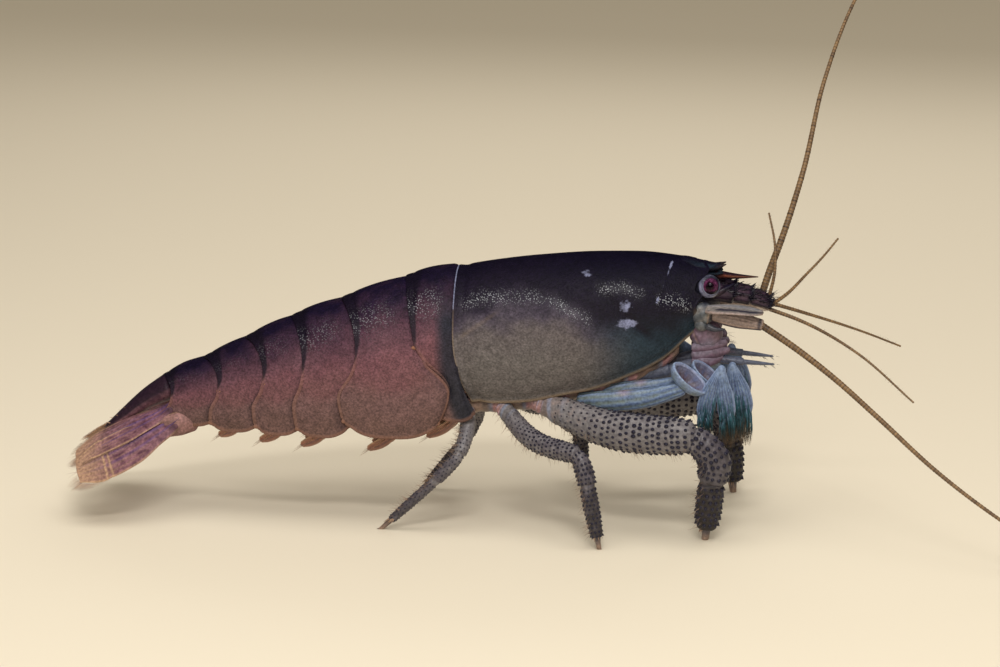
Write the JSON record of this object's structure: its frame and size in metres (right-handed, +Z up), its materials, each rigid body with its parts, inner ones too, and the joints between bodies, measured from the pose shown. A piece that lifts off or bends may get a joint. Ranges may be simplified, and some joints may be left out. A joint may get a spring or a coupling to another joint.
{
  "type": "shrimp",
  "caption": "Large fan shrimp standing on its walking legs, with a domed shell over head and chest, a ringed tail, a tail fan, closed filter fans and long feelers",
  "frame": {"origin": "middle of the bounding box, on the floor that the toes stand on", "axes": "+X from the tail to the head, +Y to the animal's left, +Z up"},
  "size_m": [0.1616, 0.0698, 0.0927],
  "materials": {
    "shell": "wet gloss",
    "abdomen": "wet gloss",
    "tail": "wet satin",
    "limb": "satin",
    "fan": "satin",
    "feeler": "satin",
    "eye": "polished",
    "underside": "satin"
  },
  "bodies": {
    "root": {"abdomen_1": "abdomen", "abdomen_2": "abdomen", "abdomen_3": "abdomen", "abdomen_4": "abdomen", "abdomen_5": "abdomen", "abdomen_6": "abdomen", "antenna_scale_left": "limb", "antenna_scale_right": "limb", "antenna_stem_left": "limb", "antenna_stem_right": "limb", "antenna_whip_left": "feeler", "antenna_whip_right": "feeler", "antennule_inner_left": "feeler", "antennule_inner_right": "feeler", "antennule_outer_left": "feeler", "antennule_outer_right": "feeler", "antennule_stem_left": "limb", "antennule_stem_right": "limb", "carapace": "shell", "chest_underside": "underside", "eye_left": "eye", "eye_right": "eye", "fan_1_left": "fan", "fan_1_right": "fan", "fan_2_left": "fan", "fan_2_right": "fan", "fan_arm_1_left": "fan", "fan_arm_1_right": "fan", "fan_arm_2_left": "fan", "fan_arm_2_right": "fan", "head": "underside", "leg_3_left_carpus": "limb", "leg_3_left_foot": "limb", "leg_3_left_merus": "limb", "leg_3_right_carpus": "limb", "leg_3_right_foot": "limb", "leg_3_right_merus": "limb", "leg_4_left_carpus": "limb", "leg_4_left_foot": "limb", "leg_4_left_merus": "limb", "leg_4_right_carpus": "limb", "leg_4_right_foot": "limb", "leg_4_right_merus": "limb", "leg_5_left_carpus": "limb", "leg_5_left_foot": "limb", "leg_5_left_merus": "limb", "leg_5_right_carpus": "limb", "leg_5_right_foot": "limb", "leg_5_right_merus": "limb", "mandible_left": "limb", "mandible_right": "limb", "maxilliped_left": "limb", "maxilliped_right": "limb", "rostrum": "shell", "tail_blade_inner_left": "tail", "tail_blade_inner_right": "tail", "tail_blade_outer_left": "tail", "tail_blade_outer_right": "tail", "telson": "tail"}
  },
  "joints": []
}
